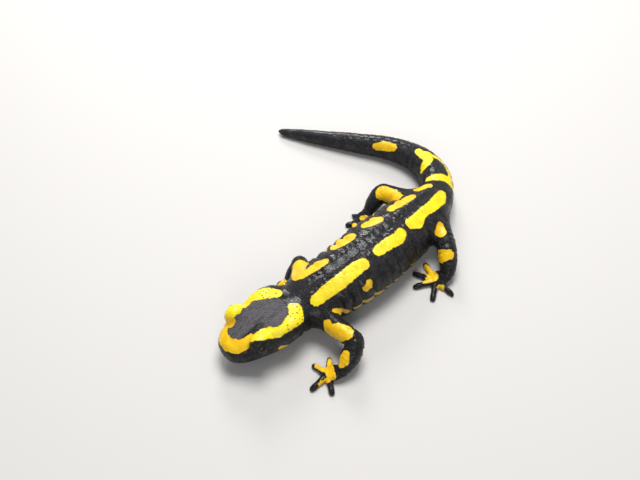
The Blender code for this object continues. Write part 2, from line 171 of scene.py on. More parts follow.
TOE_ROOT = (1.35, 1.15)        # half width and half height at the root of a toe
TOE_TIP = (0.95, 0.85)         # the same near its tip
TOE_HEIGHT = 0.72              # height of a toe's centre line


def limb_line(name, at):
    """Centre line and half sizes of a limb at positions counted in table rows."""
    rows = [(i, *row) for i, row in enumerate(LIMBS[name])]
    return np.stack([curve(rows, k, at) for k in range(1, 6)], axis=-1)


def toe_line(name, tip, count=15):
    """Centre line and half sizes of one toe, arched a little over its middle joint."""
    t = np.linspace(0, 1, count)[:, None]
    root = np.array([*LIMBS[name][-1][:2], TOE_HEIGHT + 0.35])
    end = np.array([tip[0], tip[1], TOE_HEIGHT - 0.1])
    centre = root + (end - root) * t
    centre[:, 2:] += 0.25 * np.sin(math.pi * t)
    swell = 0.10 * np.exp(-((t - 0.86) / 0.1) ** 2) - 0.10 * np.exp(-((t - 0.66) / 0.09) ** 2)
    sizes = np.array(TOE_ROOT) + (np.array(TOE_TIP) - np.array(TOE_ROOT)) * t + swell
    return np.hstack([centre, sizes])


print("toes", {name: len(tips) for name, tips in TOES.items()})

# %% [markdown]
# ## Tubes to measure from
# The skin could be one loft, but a loft can't grow a leg out of its side. So every part of the
# body is first made as a closed tube or lump of its own, overlapping its neighbours. They are
# only guides: the skin will be drawn over all of them and measured from them.

# %% Closed tubes and lumps
def shell(rings):
    """Vertices and faces of a closed tube through equal rings, with a pole at each end."""
    rings = np.asarray(rings)
    rows, count = rings.shape[:2]
    points = np.vstack([rings.reshape(-1, 3), rings[0].mean(axis=0), rings[-1].mean(axis=0)])
    faces = []
    for r in range(rows - 1):
        for i in range(count):
            j = (i + 1) % count
            faces.append((r * count + i, r * count + j, (r + 1) * count + j, (r + 1) * count + i))
    last = (rows - 1) * count
    for i in range(count):
        j = (i + 1) % count
        faces.append((j, i, rows * count))
        faces.append((last + i, last + j, rows * count + 1))
    corners = np.array([points[list(face[:3])] for face in faces])
    volume = np.einsum("ij,ij->i", corners[:, 0], np.cross(corners[:, 1], corners[:, 2])).sum()
    if volume < 0:
        faces = [face[::-1] for face in faces]
    return points, faces


def body_shell(step=0.55, count=88):
    """The head, trunk and tail as one tube of superellipse sections."""
    ends = [0, 0.15, 0.3, 0.5, 0.75, 1.05, 1.4]
    stations = np.concatenate([ends, np.arange(1.9, 184.0, step), [184.4, 184.9, 185.4, 185.8, 186]])
    turns = np.linspace(0, 360, count, endpoint=False)
    grid = on_skin(stations[:, None] + 0 * turns, turns[None, :] + 0 * stations[:, None])
    grid[..., 2] = np.maximum(grid[..., 2], -FLOOR_SINK)
    return shell(grid)


def tube(line, count=28):
    """A rounded-end tube along a line of centres with half widths and half heights."""
    along = np.gradient(line[:, :3], axis=0)
    along /= np.linalg.norm(along, axis=1)[:, None]
    turns = np.radians(np.linspace(0, 360, count, endpoint=False))[:, None]
    places = [(0, -math.radians(a)) for a in (75, 55, 35, 15)]
    places += [(i, 0.0) for i in range(len(line))]
    places += [(len(line) - 1, math.radians(a)) for a in (15, 35, 55, 75)]
    rings = []
    for i, lean in places:
        side = np.cross(along[i], (0, 0, 1.0))
        side /= np.linalg.norm(side)
        rise = np.cross(side, along[i])
        half, height = line[i, 3:5]
        centre = line[i, :3] + along[i] * math.sin(lean) * min(half, height)
        rings.append(centre + math.cos(lean) * (half * np.cos(turns) * side + height * np.sin(turns) * rise))
    return shell(rings)


def lump(centre, sizes, turn, count=40):
    """An egg shape with the given half sizes, turned about the vertical."""
    polar = np.radians(np.linspace(4, 176, count // 2))[:, None]
    around = np.radians(np.linspace(0, 360, count, endpoint=False))[None, :]
    grid = np.stack([
        sizes[0] * np.sin(polar) * np.cos(around), sizes[1] * np.sin(polar) * np.sin(around),
        -sizes[2] * np.cos(polar) + 0 * around,
    ], axis=-1)
    spin = np.array([[math.cos(turn), -math.sin(turn), 0], [math.sin(turn), math.cos(turn), 0], [0, 0, 1]])
    return shell(grid @ spin.T + centre)


EYE_STATION, EYE_SIDE, EYE_HEIGHT, EYE_RADIUS = 10.2, 8.5, 11.8, 2.3
LID = {"station": 10.6, "side": 7.2, "height": 12.4, "sizes": (3.3, 4.05, 3.4)}
PAROTOID = {"station": 21.8, "side": 6.85, "height": 11.8, "sizes": (4.3, 7.2, 3.3)}
LIMB_BLEND, TOE_BLEND, LID_BLEND, PAROTOID_BLEND = 2.6, 0.7, 1.3, 2.2

LIMB_ROWS = np.linspace(0, 7, 71)

guides = [("body", body_shell(), 0.0)]
for limb in LIMBS:
    guides.append((limb, tube(limb_line(limb, LIMB_ROWS), 40), LIMB_BLEND))
    guides += [(limb + "_toe", tube(toe_line(limb, tip)), TOE_BLEND) for tip in TOES[limb]]
for label, item, blend in (("lid", LID, LID_BLEND), ("parotoid", PAROTOID, PAROTOID_BLEND)):
    tilt = float(section(item["station"])[2]) - math.pi / 2
    for side in (1, -1):
        middle = on_plan(item["station"], side * item["side"], item["height"])
        guides.append((label, lump(middle, item["sizes"], tilt), blend))
print("guide shells", len(guides))

# %% [markdown]
# ## One skin over everything
# A voxel remesh melts all the guide tubes into one closed surface without any seam, but it leaves
# small steps. So it only gives the skin its points: each point is then moved on to the true
# surface, measured from the guides. Where two guides meet, their distances are blended, which
# gives the soft web of flesh that a shoulder, a groin or a finger root has.

# %% Merge the guides and refine the face and feet
SKIN_GRAIN = 0.52              # edge of a voxel, and so of a skin face
FACE_REACH = 13.5              # distance from the middle of the face that gets finer faces
FOOT_REACH, FOOT_TOP = 12.0, 4.2        # the same round each hand and foot, and how high


def shown(name, data):
    """An object of the given data, put in the scene."""
    item = bpy.data.objects.new(name, data)
    bpy.context.scene.collection.objects.link(item)
    return item


def object_from(name, points, faces, scale=1.0):
    """A mesh object from points and faces."""
    mesh = bpy.data.meshes.new(name)
    mesh.from_pydata([tuple(point) for point in np.asarray(points) * scale], [], faces)
    mesh.validate()
    return shown(name, mesh)


def mesh_from(name, form):
    """A mesh from an edited form, which is freed."""
    mesh = bpy.data.meshes.new(name)
    form.to_mesh(mesh)
    form.free()
    return mesh


def triangles(mesh):
    """Number of triangles the mesh's faces make."""
    return sum(len(face.vertices) - 2 for face in mesh.polygons)


def applied(item):
    """The object's mesh after its modifiers, with the object and its modifiers gone."""
    graph = bpy.context.evaluated_depsgraph_get()
    result = bpy.data.meshes.new_from_object(item.evaluated_get(graph))
    bpy.data.objects.remove(item)
    return result


def vertex_array(mesh):
    """Vertex positions of a mesh as an array."""
    flat = np.empty(len(mesh.vertices) * 3)
    mesh.vertices.foreach_get("co", flat)
    return flat.reshape(-1, 3)


all_points, all_faces, total = [], [], 0
for _, (points, faces), _ in guides:
    all_points.append(points)
    all_faces += [tuple(index + total for index in face) for face in faces]
    total += len(points)
blank = object_from("skin_blank", np.vstack(all_points), all_faces)
melt = blank.modifiers.new("melt", "REMESH")
melt.mode = "VOXEL"
melt.voxel_size = SKIN_GRAIN
blank_mesh = applied(blank)

skin = bmesh.new()
skin.from_mesh(blank_mesh)
feet = [np.array([*LIMBS[name][-1][:2], 1.0]) for name in LIMBS]
snout = on_plan(9.0, 0.0, 8.0)


def needs_detail(point):
    """True on the face and round the toes, where features are finer than the rest."""
    if np.linalg.norm(point - snout) < FACE_REACH:
        return True
    return any(np.linalg.norm(point - foot) < FOOT_REACH and point[2] < FOOT_TOP for foot in feet)


marked = {vert for vert in skin.verts if needs_detail(np.array(vert.co))}
fine_edges = [edge for edge in skin.edges if edge.verts[0] in marked and edge.verts[1] in marked]
bmesh.ops.subdivide_edges(skin, edges=fine_edges, cuts=1, use_grid_fill=True)
bmesh.ops.triangulate(skin, faces=[face for face in skin.faces if len(face.verts) > 4])
bmesh.ops.recalc_face_normals(skin, faces=skin.faces)
skin_mesh = mesh_from("skin", skin)
place = vertex_array(skin_mesh)
print("skin points", len(place), "faces", len(skin_mesh.polygons))


# %% Draw the skin tight over the guides
def edge_array(mesh):
    """Pairs of vertex numbers of all edges."""
    flat = np.empty(len(mesh.edges) * 2, dtype=np.int64)
    mesh.edges.foreach_get("vertices", flat)
    return flat.reshape(-1, 2)


EDGES = edge_array(skin_mesh)
VALENCE = np.bincount(EDGES.ravel(), minlength=len(place)).astype(float)


def neighbour_mean(values):
    """Mean of each point's neighbours, for one column or several."""
    values = values.reshape(len(VALENCE), -1)
    total_here = np.stack([
        np.bincount(EDGES[:, 0], values[EDGES[:, 1], k], len(VALENCE))
        + np.bincount(EDGES[:, 1], values[EDGES[:, 0], k], len(VALENCE))
        for k in range(values.shape[1])
    ], axis=-1)
    return (total_here / VALENCE[:, None]).squeeze()


def relax(points, rounds, weight=0.5):
    """Even out points along the surface."""
    for _ in range(rounds):
        points = points + np.asarray(weight).reshape(-1, 1) * (neighbour_mean(points) - points)
    return points


def signed_distance(tree, points):
    """Distance outside a shell and its outward direction, for each point."""
    reach = np.empty(len(points))
    outward = np.empty((len(points), 3))
    for i, point in enumerate(points):
        found, normal, _, _ = tree.find_nearest(point)
        gap = np.array(point) - np.array(found)
        sign = 1.0 if gap @ np.array(normal) >= 0 else -1.0
        length = math.sqrt(gap @ gap)
        reach[i] = sign * length
        outward[i] = sign * gap / length if length > 0.02 else np.array(normal)
    return reach, outward


GUIDE_MARGIN = 3.5             # a guide can pull on points this far outside its box
trees = []
for _, (points, faces), blend in guides:
    tree = BVHTree.FromPolygons([tuple(point) for point in points], faces)
    low, high = points.min(axis=0) - GUIDE_MARGIN, points.max(axis=0) + GUIDE_MARGIN
    trees.append((tree, low, high, blend))


def blended_surface(points):
    """Blended distance to all guides and the direction it grows in."""
    reach, outward = signed_distance(trees[0][0], points)
    for tree, low, high, blend in trees[1:]:
        near = np.flatnonzero(np.all((points > low) & (points < high), axis=1))
        if not len(near):
            continue
        other, other_out = signed_distance(tree, points[near])
        share = np.clip(0.5 + 0.5 * (reach[near] - other) / blend, 0, 1)
        reach[near] = reach[near] * (1 - share) + other * share - blend * share * (1 - share)
        outward[near] = outward[near] * (1 - share[:, None]) + other_out * share[:, None]
    return reach, outward


place = relax(place, 5)
for turn in range(3):
    reach, outward = blended_surface(place)
    steep = np.maximum((outward ** 2).sum(axis=1), 0.25)
    place = place - outward * (np.clip(reach, -1.2, 1.2) / steep)[:, None]
    print("fit round", turn, "mean miss %.3f mm" % np.abs(reach).mean())
    if turn < 2:
        place = relax(place, 1, 0.35)

# %% [markdown]
# ## Where each point lies on the animal
# Folds, glands and bands all follow the body, so every skin point is told how far along the back
# it lies and how far round from the ridge. Painting or sculpting by hand would look as good once,
# but these body coordinates let a rib fold or a row of glands be written as one short rule.

# %% Body coordinates of the skin
def nearest_tree(points):
    """A search tree that finds the nearest of the points."""
    tree = KDTree(len(points))
    for i, point in enumerate(points):
        tree.insert(point, i)
    tree.balance()
    return tree


back_tree = nearest_tree([(x, y, 0.0) for x, y in zip(SPINE_X, SPINE_Y)])


def smooth(low, high, value):
    """Smooth step from 0 at low to 1 at high."""
    t = np.clip((np.asarray(value, float) - low) / (high - low), 0, 1)
    return t * t * (3 - 2 * t)


def bell(value, width):
    """Bell curve: 1 at zero, fading over the width."""
    return np.exp(-(np.asarray(value) / width) ** 2)


def chain_distance(points, chain):
    """Distance outside a chain of spheres joined by cones."""
    chain = np.asarray(chain, float)
    if len(chain) == 1:
        return np.linalg.norm(points - chain[0, :3], axis=1) - chain[0, 3]
    best = np.full(len(points), 99.0)
    for start, end in zip(chain[:-1], chain[1:]):
        run = end[:3] - start[:3]
        share = np.clip((points - start[:3]) @ run / max(run @ run, 1e-6), 0, 1)
        axis = start[:3] + share[:, None] * run
        radius = start[3] + share * (end[3] - start[3])
        best = np.minimum(best, np.linalg.norm(points - axis, axis=1) - radius)
    return best


def body_coordinates(points):
    """Station, turn from the ridge to the left in degrees, and side distance of points."""
    near = np.array([back_tree.find((x, y, 0.0))[1] for x, y, _ in points])
    gap_x, gap_y = points[:, 0] - SPINE_X[near], points[:, 1] - SPINE_Y[near]
    cosine, sine = np.cos(HEADING[near]), np.sin(HEADING[near])
    along = np.clip(FINE[near] + gap_x * cosine + gap_y * sine, 0, FINE[-1])
    side = gap_x * sine - gap_y * cosine
    _, _, _, half, top, under = section(along)
    across, upward = side / half, (2 * points[:, 2] - top - under) / (top - under)
    power = SQUARENESS / 2
    turn = np.arctan2(
        np.sign(across) * np.abs(across) ** power, np.sign(upward) * np.abs(upward) ** power
    )
    return along, np.degrees(turn), side


station, turned, side_way = body_coordinates(place)
body_gap = signed_distance(trees[0][0], place)[0]

limb_rows = np.tile(LIMB_ROWS, len(LIMBS))
limb_lines = np.vstack([limb_line(limb, LIMB_ROWS) for limb in LIMBS])
limb_tree = nearest_tree(limb_lines[:, :3])
found = [limb_tree.find(point) for point in place]
nearest = np.array([number for _, number, _ in found])
limb_row = limb_rows[nearest]
limb_gap = np.array([gap for _, _, gap in found]) - limb_lines[nearest, 3:5].mean(axis=1)
on_limb = smooth(0.4, 2.2, body_gap) * (1 - smooth(1.0, 3.0, limb_gap)) * smooth(1.0, 1.8, limb_row)
on_toes = smooth(6.0, 7.0, limb_row) * smooth(0.5, 2.0, body_gap)
on_body = 1 - np.maximum(on_limb, on_toes)
print("points on limbs", int((on_limb > 0.5).sum()), "on toes", int((on_toes > 0.5).sum()))

# %% [markdown]
# ## Folds of the skin
# A fire salamander has a groove between each pair of ribs, rings round the tail, a loose fold
# under the throat and creases at the joints. They could be left to a bump in the material, but
# real folds break up the outline and the gloss, so each one moves the skin itself along its
# normal. A bump is kept for grain finer than the faces.

# %% Fold rules, in millimetres
RIB_PITCH = 4.25               # distance between rib grooves
RIB_FIRST, RIB_LAST = 42.0, 91.0
RING_PITCH = 3.3               # distance between tail rings
PORE_PITCH = 2.3               # distance between the glands beside the ridge


def grain_noise(points, size, seed):
    """Smooth noise from -1 to 1 whose lumps are about the given size."""
    shifted = points / size + seed
    return np.array([noise.noise(point) for point in shifted])


def normals_of(mesh, points):
    """Vertex normals of the mesh once its points stand at the given places."""
    mesh.vertices.foreach_set("co", np.ascontiguousarray(points).ravel())
    mesh.update()
    flat = np.empty(len(points) * 3)
    mesh.vertex_normals.foreach_get("vector", flat)
    return flat.reshape(-1, 3)


around = np.abs(turned)
wander = grain_noise(place, 9.0, 11.0)
ripple = grain_noise(place, 3.4, 23.0)
pimple = grain_noise(place, 1.25, 37.0)

rib_phase = (station + 0.9 * wander - RIB_FIRST) / RIB_PITCH
rib_offset = np.abs(rib_phase - np.round(rib_phase)) * RIB_PITCH
rib_zone = smooth(RIB_FIRST - 3, RIB_FIRST + 1, station) * (1 - smooth(RIB_LAST, RIB_LAST + 4, station))
rib_depth = 0.12 + 0.66 * smooth(22, 62, around) * (1 - 0.7 * smooth(105, 135, around))
rise = rib_zone * on_body * rib_depth * (0.30 - bell(rib_offset, 0.62))
rib_crest = RIB_PITCH / 2 - rib_offset
rise += rib_zone * on_body * 0.34 * bell(rib_crest, 1.0) * bell(around - 57, 8)
pore_phase = (station + 0.4 * ripple) / PORE_PITCH
pore_offset = np.abs(pore_phase - np.round(pore_phase)) * PORE_PITCH

ring_phase = (station + 0.5 * wander) / RING_PITCH
ring_offset = np.abs(ring_phase - np.round(ring_phase)) * RING_PITCH
ring_zone = smooth(97, 104, station) * (1 - smooth(172, 182, station)) * on_body
rise += ring_zone * 0.16 * (0.4 - bell(ring_offset, 0.5)) * (0.5 + 0.5 * smooth(20, 70, around))
bend = bell(station - 117, 13) * smooth(-20, -75, turned) * on_body
rise += bend * 0.30 * (0.35 - bell(ring_offset, 0.62))

ridge = smooth(30, 38, station) * (1 - smooth(96, 112, station)) * on_body
rise += ridge * (0.10 * bell(around - 13, 6) - 0.22 * bell(around, 5))
rise += ridge * 0.26 * bell(pore_offset, 0.62) * bell(around - 11, 4.5)
print("rib grooves", int((RIB_LAST - RIB_FIRST) / RIB_PITCH) + 1)

# %% Neck, limbs and soft unevenness
for fold, depth, low, high in ((27.3, 0.36, 55, 180), (30.4, 0.24, 40, 150), (33.6, 0.26, 45, 130)):
    offset = station - fold - 1.3 * wander - 2.0 * smooth(60, 160, around)
    below_back = smooth(low, low + 25, around)
    rise -= depth * bell(offset, 0.55) * below_back * (1 - smooth(high - 15, high, around)) * on_body
    rise += 0.4 * depth * bell(offset + 1.4, 0.9) * below_back * on_body

for row in (2.6, 3.05, 3.5, 5.0, 5.35):     # rows of the limb tables with a crease
    rise -= 0.16 * on_limb * bell(limb_row - row - 0.12 * wander, 0.085)
rise += on_limb * 0.07 * np.sin(limb_row * 21 + 3 * wander)
rise += (0.10 * ripple + 0.05 * pimple) * (1 - 0.7 * on_toes) * smooth(0.6, 3.0, place[:, 2])
rise += 0.10 * wander * on_body
print("fold depth from %.2f to %.2f mm" % (rise.min(), rise.max()))

# %% [markdown]
# ## The face
# The face is what people look at first. The mouth is a long closed line that dips towards the
# jaw corner, the nostrils are two small pits, and each eye looks out between thick lids. All of
# it is pressed into the same skin: for the eyes, the skin inside a cone round the line of sight
# goes behind the eyeball, and the skin just outside it becomes the raised rim of the lids.

# %% Mouth, nostrils and head relief
MOUTH_HEIGHT, MOUTH_DROP, MOUTH_CORNER = 5.9, 1.2, 16.8
head_zone = 1 - smooth(24, 27, station)
mouth_height = MOUTH_HEIGHT - MOUTH_DROP * smooth(1, MOUTH_CORNER, station)
above_mouth = place[:, 2] - mouth_height
lips = (1 - smooth(MOUTH_CORNER - 0.6, MOUTH_CORNER + 0.8, station)) * on_body * (body_gap < 1.0)
rise += lips * (0.16 * bell(above_mouth - 0.8, 0.6) - 0.42 * bell(above_mouth, 0.27))
rise += 0.14 * lips * bell(above_mouth + 0.9, 0.7)
for side in (1, -1):
    nostril = on_plan(1.5, side * 2.7, 9.0)
    away = np.linalg.norm(place - nostril, axis=1)
    rise += 0.16 * bell(away - 0.75, 0.35) - 0.50 * bell(away, 0.42)

snout_zone = (1 - smooth(8, 13, station)) * smooth(1.5, 4, station)
rise -= 0.35 * snout_zone * bell(side_way, 2.2) * smooth(60, 20, around)
crown_zone = bell(station - 13, 7.5) * bell(side_way, 4.2) * smooth(70, 35, around)
rise -= 0.30 * bell(station - 12, 6) * bell(side_way, 2.6) * smooth(60, 20, around)
wrinkle = np.sin(side_way * 3.1 + 2.6 * wander + 0.5 * ripple + 0.35 * station)
rise -= crown_zone * (0.26 * bell(wrinkle - 1, 0.45) - 0.06)
CROWN_FOLDS = [                # station and distance to the left along each fold
    [(12.6, 0.6), (15.6, 1.0), (17.0, -0.6), (18.4, -0.4), (20.2, -1.8)],
    [(7.5, -0.5), (10.0, -1.8), (12.5, -3.2), (14.5, -4.6)],
    [(16.0, 3.8), (18.6, 2.2), (20.4, 2.6), (22.2, 1.0)],
    [(22.4, -4.6), (23.8, -1.6), (23.2, 1.8)],
]
flat = np.stack([station, side_way, 0 * station], axis=-1)
for fold in CROWN_FOLDS:
    gap = chain_distance(flat, [(at, side, 0.0, 0.0) for at, side in fold])
    rise -= 0.34 * bell(gap + 0.25 * ripple, 0.34) * smooth(75, 50, around) * on_body
gland_edge = np.abs(np.hypot((station - PAROTOID["station"]) / 7.6, (np.abs(side_way) - 6.4) / 3.9) - 1)
rise -= 0.18 * bell(gland_edge, 0.10) * smooth(95, 70, around) * head_zone
print("mouth corner at station", MOUTH_CORNER)


# %% Raise the folds, then open the eyelids
EYE_FORWARD, EYE_DOWN = 20.0, -6.0      # degrees the line of sight turns forward and down
LID_OPEN_WIDE, LID_OPEN_TALL = 57.0, 45.0
LID_RIM = 2.74                 # distance of the lid rim from the middle of the eyeball
EYE_POCKET = 1.85              # distance of the hidden skin behind the eyeball from its middle
eye_axes = {}
place = place + rise[:, None] * normals_of(skin_mesh, place)
for side, label in ((1, "left"), (-1, "right")):
    middle = on_plan(EYE_STATION, side * EYE_SIDE, EYE_HEIGHT)
    heading = float(section(EYE_STATION)[2])
    forward = np.array([-math.cos(heading), -math.sin(heading), 0.0])
    outward_side = side * np.array([math.sin(heading), -math.cos(heading), 0.0])
    sight = (
        math.cos(math.radians(EYE_FORWARD)) * outward_side + math.sin(math.radians(EYE_FORWARD)) * forward
        - math.tan(math.radians(EYE_DOWN)) * np.array([0, 0, 1.0])
    )
    sight /= np.linalg.norm(sight)
    level = np.cross((0, 0, 1.0), sight)
    level /= np.linalg.norm(level)
    up = np.cross(sight, level)
    eye_axes[label] = (middle, sight, level, up)
    ray = place - middle
    reach = np.linalg.norm(ray, axis=1)
    near = np.flatnonzero((reach < 5.0) & (ray @ sight > -1.0))
    way = ray[near] / reach[near, None]
    wide = np.degrees(np.arctan2(way @ level, way @ sight)) / LID_OPEN_WIDE
    tall = np.degrees(np.arctan2(way @ up, way @ sight)) / LID_OPEN_TALL
    opening = np.hypot(wide, tall)
    rim = LID_RIM + 0.12 * bell(opening - 1.2, 0.22)
    fade = smooth(0.86, 1.10, opening)
    inside = EYE_POCKET + (np.maximum(reach[near], rim) - EYE_POCKET) * fade
    wanted = np.where(opening < 1.25, inside, np.maximum(reach[near], EYE_RADIUS + 0.35))
    wanted = np.where(opening > 2.2, reach[near], wanted)
    place[near] = middle + way * wanted[:, None]
place[:, 2] = np.maximum(place[:, 2], 0.0)
print("lids opened", {label: [round(float(v), 1) for v in axis[0]] for label, axis in eye_axes.items()})

# %% [markdown]
# ## The yellow bands
# The bands of a fire salamander are sharp-edged patches in the skin, not paint on top. Each band
# is written as a chain of round spots along the body, so it stays where it is when the body is
# corrected. The distance to the chains is stored at every skin point, and the material draws the
# edge from it. That keeps the edge crisp at any distance. Dark islands are chains cut out.

# %% Chains of spots: station, turn to the left in degrees, radius in millimetres
LEMON_CHAINS = [
    [(34.9, 30, 2.1), (39.4, 26, 2.5), (45.5, 24, 2.6), (52.4, 18, 2.6), (55.4, 19, 2.2)],
    [(63.0, 17, 2.0), (67.8, 20, 2.3), (72.1, 24, 2.4), (74.6, 19, 2.0)],
    [(80.9, 19, 2.4), (83.0, 23, 2.7), (87.6, 16, 1.9), (92.8, 20, 2.2), (98.6, 25, 2.5), (101.6, 22, 1.7)],
    [(21.8, 43, 2.2), (25.4, 42, 2.7), (27.2, 24, 2.5), (27.0, 14, 1.5)],
    [(14.5, 42, 1.4), (17.8, 46, 1.8), (21.8, 44, 2.2)],
    [(25.4, -28, 1.9), (22.2, -41, 2.7), (18.4, -51, 2.8), (14.0, -50, 2.5)],
    [(108.7, -31, 1.3), (109.6, -2, 1.9), (109.7, 19, 2.0), (108.8, 44, 1.7), (108.2, 76, 1.6)],
    [(126.7, -7, 1.5), (123.6, -5, 2.0), (120.4, -4, 1.7), (119.3, -20, 1.6), (118.0, -45, 1.4),
     (116.9, -58, 0.9)],
    [(109.0, 50, 1.6), (112.6, 52, 0.9), (116.3, 46, 0.6), (119.4, 34, 0.7), (123.6, 6, 1.4)],
]
ORANGE_CHAINS = [
    [(36.2, -30, 1.3), (39.0, -27, 1.9), (42.9, -25, 2.2), (45.8, -22, 1.5)],
    [(53.8, -40, 2.0), (57.5, -40, 2.9), (60.8, -35, 2.3)],
    [(69.0, -34, 1.9), (72.1, -29, 2.4), (74.0, -25, 1.8)],
    [(81.4, -30, 1.8), (86.5, -28, 2.4), (92.0, -24, 1.8)],
    [(97.6, -34, 1.5), (100.7, -30, 2.0), (103.2, -19, 1.6)],
    [(144.6, -52, 1.5), (141.3, -40, 2.1), (137.8, -35, 1.7)],
    [(51.7, 62, 1.2), (53.1, 58, 1.7)],
    [(6.0, -61, 2.0), (2.6, -34, 2.2), (2.2, 0, 2.4), (4.0, 24, 2.4), (6.8, 30, 1.9), (9.0, 30, 1.7)],
    [(9.0, -44, 2.0), (6.0, -61, 2.0)],
    [(16.8, 93, 1.1), (19.1, 103, 0.8)],
    [(38.0, 76, 0.8), (40.5, 82, 1.2), (43.5, 93, 1.1)],
    [(49, -70, 1.4), (51, -66, 1.5)], [(66, -74, 1.2)], [(77, -68, 1.5), (79, -70, 1.3)],
    [(150, 62, 1.2), (153, 66, 1.0)], [(131, 70, 1.5), (134, 66, 1.2)],
    [(60, 150, 1.3)], [(76, -150, 1.2)], [(22, 170, 1.3), (24, -172, 1.1)],
]
STRIPE_CHAINS = [
    [(44.5, 98, 0.6), (47.6, 97, 0.8), (51.1, 96, 1.1), (56.5, 98, 1.3)],
    [(56.5, 98, 0.9), (62, 100, 0.5), (69, 99, 0.5), (76, 98, 0.4), (84, 97, 0.4)],
]
BLACK_CHAINS = [
    [(6.3, -6, 1.6), (9.2, -10, 2.2), (14.3, -17, 3.2), (18.3, -9, 3.6), (20.6, 2, 4.1), (19.6, 18, 3.0)],
    [(113.6, 2, 2.0), (115.4, -8, 1.9)],
]

# %% Chains on lids and limbs: x, y, z, radius in millimetres
LID_CHAINS = [
    [(-15.2, -51.7, 15.0, 2.7), (-14.6, -49.5, 15.6, 2.5), (-14.6, -46.0, 15.0, 2.2)],
    [(-2.4, -53.2, 14.8, 1.7), (-1.1, -50.4, 15.8, 2.8), (-0.1, -47.6, 14.8, 2.3)],
]
LIMB_CHAINS = [
    [(10.0, -29.8, 11.0, 1.6), (12.2, -31.0, 9.4, 2.7), (14.9, -29.8, 10.9, 3.4), (17.0, -28.3, 11.6, 2.6)],
    [(21.6, -33.5, 8.6, 1.7), (22.0, -34.8, 7.4, 2.3), (22.2, -35.9, 6.2, 1.4)],
    [(19.0, -38.4, 2.9, 1.6), (21.0, -39.6, 3.0, 1.7), (22.0, -40.0, 3.1, 1.5)],
    [(16.9, -35.7, 1.8, 1.0), (18.6, -37.5, 2.6, 1.2)], [(15.1, -40.2, 1.8, 1.0), (18.6, -39.4, 2.2, 1.1)],
    [(21.7, -41.6, 2.1, 0.9), (20.8, -43.9, 1.1, 1.2)],
    [(-13.4, -20.2, 11.6, 3.4), (-12.0, -22.0, 13.1, 3.1), (-9.6, -25.2, 14.4, 2.0)],
    [(-17.0, -24.6, 3.0, 1.4), (-17.2, -27.6, 2.4, 1.5)],
    [(-16.8, 26.6, 10.7, 3.0), (-13.4, 27.4, 11.0, 3.2), (-10.2, 27.3, 12.2, 2.5)],
    [(9.4, 28.7, 12.6, 1.2), (11.1, 27.1, 12.0, 2.3)],
    [(17.1, 21.0, 8.2, 2.5), (19.2, 22.7, 9.5, 1.9)],
    [(13.7, 17.5, 1.6, 1.2), (16.6, 16.3, 1.9, 1.8), (19.1, 15.5, 2.7, 1.7), (17.7, 12.3, 2.0, 1.2)],
    [(23.5, 14.2, 1.3, 1.5)],
    [(-18.1, 16.9, 3.1, 1.0), (-16.8, 18.3, 3.6, 0.8)], [(-18.2, 13.0, 1.6, 1.2)],
]


skin_tree = nearest_tree(place)


def on_animal(chain):
    """A chain of station, turn and radius laid on the finished skin."""
    spots = [(*skin_tree.find(on_skin(at, turn))[0], radius) for at, turn, radius in chain]
    return np.array(spots)


def nearest_of(chains):
    """Smallest distance to several chains."""
    best = np.full(len(place), 99.0)
    for chain in chains:
        best = np.minimum(best, chain_distance(place, chain))
    return best


lemon = np.minimum(nearest_of([on_animal(c) for c in LEMON_CHAINS]), nearest_of(LID_CHAINS))
orange = np.minimum(nearest_of([on_animal(c) for c in ORANGE_CHAINS]), nearest_of(LIMB_CHAINS))
stripe = nearest_of([on_animal(c) for c in STRIPE_CHAINS])
black = nearest_of([on_animal(c) for c in BLACK_CHAINS])
bright = np.minimum(lemon, orange)
mark = -np.maximum(np.minimum(bright, stripe), -black)
# Leans to orange near the orange chains; on the far row, the lower spots and the limbs this orange is partly
# the skin's own tone and partly painted shade
warm_and_shaded = smooth(-2.0, 2.0, lemon - orange)
# The low flank stripe is a real yellow marking; its olive colour is painted shade
olive_shade = smooth(0.3, -0.3, stripe - bright)
crown = smooth(2.2, 0.6, black) * (station < 30) * smooth(80, 40, around)
glandular = bell(station - 24.0, 5.5) * smooth(0.8, 2.6, np.abs(side_way)) * on_body * smooth(95, 70, around)
belly = on_body * smooth(108, 132, around)
# back marks the top of the body, where the material paints a grey sheen of reflected sky
back = on_body * smooth(80, 45, around)
print("yellow points", int((mark > 0).sum()), "of", len(place))

# %% Write the skin and its attributes
def set_attribute(mesh, name, values):
    """Store one number per point on a mesh."""
    layer = mesh.attributes.new(name, "FLOAT", "POINT")
    layer.data.foreach_set("value", np.ascontiguousarray(values, dtype=np.float32))


for name, values in (
    ("mark", mark), ("warm_and_shaded", warm_and_shaded), ("olive_shade", olive_shade), ("crown", crown), ("glandular", glandular),
    ("belly", belly), ("back", back),
):
    set_attribute(skin_mesh, name, values)
skin_mesh.vertices.foreach_set("co", (place * METRES).ravel())
skin_mesh.update()
skin_mesh.shade_smooth()
skin_piece = shown("salamander_skin", skin_mesh)
print("skin triangles", triangles(skin_mesh))

# %% [markdown]
# ## Shader groups shared by the materials
# The skin, its glands and the eyes are all wet, and all measured in millimetres. Three node
# groups hold what they share: the coordinate in millimetres, the grain of the skin, and the
# film of moisture that makes some places glossier than others. A group keeps one recipe in one
# place; each material sets its own amounts.

# %% Node helpers and groups
def new_group(name, inputs, outputs):
    """A shader node group with named sockets."""
    tree = bpy.data.node_groups.new(name, "ShaderNodeTree")
    for label, kind, value in inputs:
        socket = tree.interface.new_socket(name=label, in_out="INPUT", socket_type=kind)
        if value is not None:
            socket.default_value = value
    for label, kind in outputs:
        tree.interface.new_socket(name=label, in_out="OUTPUT", socket_type=kind)
    return tree, tree.nodes.new("NodeGroupInput"), tree.nodes.new("NodeGroupOutput")


